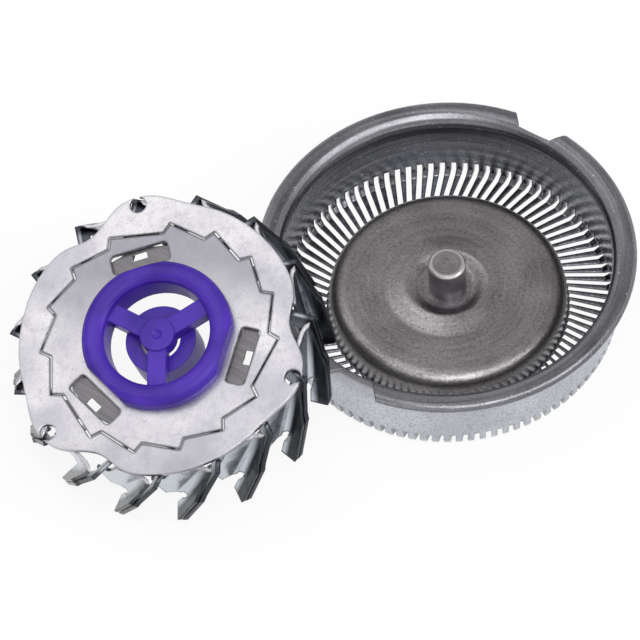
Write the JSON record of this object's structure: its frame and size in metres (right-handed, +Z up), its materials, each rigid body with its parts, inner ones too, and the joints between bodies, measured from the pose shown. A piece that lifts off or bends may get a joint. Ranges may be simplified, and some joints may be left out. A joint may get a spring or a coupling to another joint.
{
  "type": "rotary shaver head",
  "caption": "Rotary shaver head taken apart: a slotted steel comb cap lying open, and its bladed cutter with a plastic drive hub leaning on the cap's rim.",
  "frame": {"origin": "on the axis of the comb cap, on the plane of its skin face, which lies on the table", "axes": "+Z up out of the open side of the cap, along the centre pin; +X to the viewer's right; the cutter lies towards -X"},
  "size_m": [0.0369, 0.0276, 0.0106],
  "materials": {
    "cap_steel": "deep-drawn, tumbled satin stainless steel",
    "pin_steel": "turned steel",
    "cover_steel": "brushed stainless steel",
    "blade_steel": "stamped and ground hardened steel",
    "lifter_steel": "stamped and bent spring steel",
    "spring_steel": "rolled spring steel",
    "hub_plastic": "injection-moulded acetal, violet"
  },
  "bodies": {
    "root": {"comb_cap": "cap_steel", "centre_pin": "pin_steel", "centre_cover": "cover_steel", "blade_disc": "blade_steel", "spring_plate": "spring_steel", "drive_hub": "hub_plastic"},
    "lifters": {"lifter_ring": "lifter_steel"}
  },
  "joints": [
    {"name": "lifter_float", "type": "slide", "parent": "root", "child": "lifters", "axis": [-0.1792, -0.2466, 0.9524], "range_m": [0, 0.00025], "stiffness_N_per_m": 200}
  ]
}
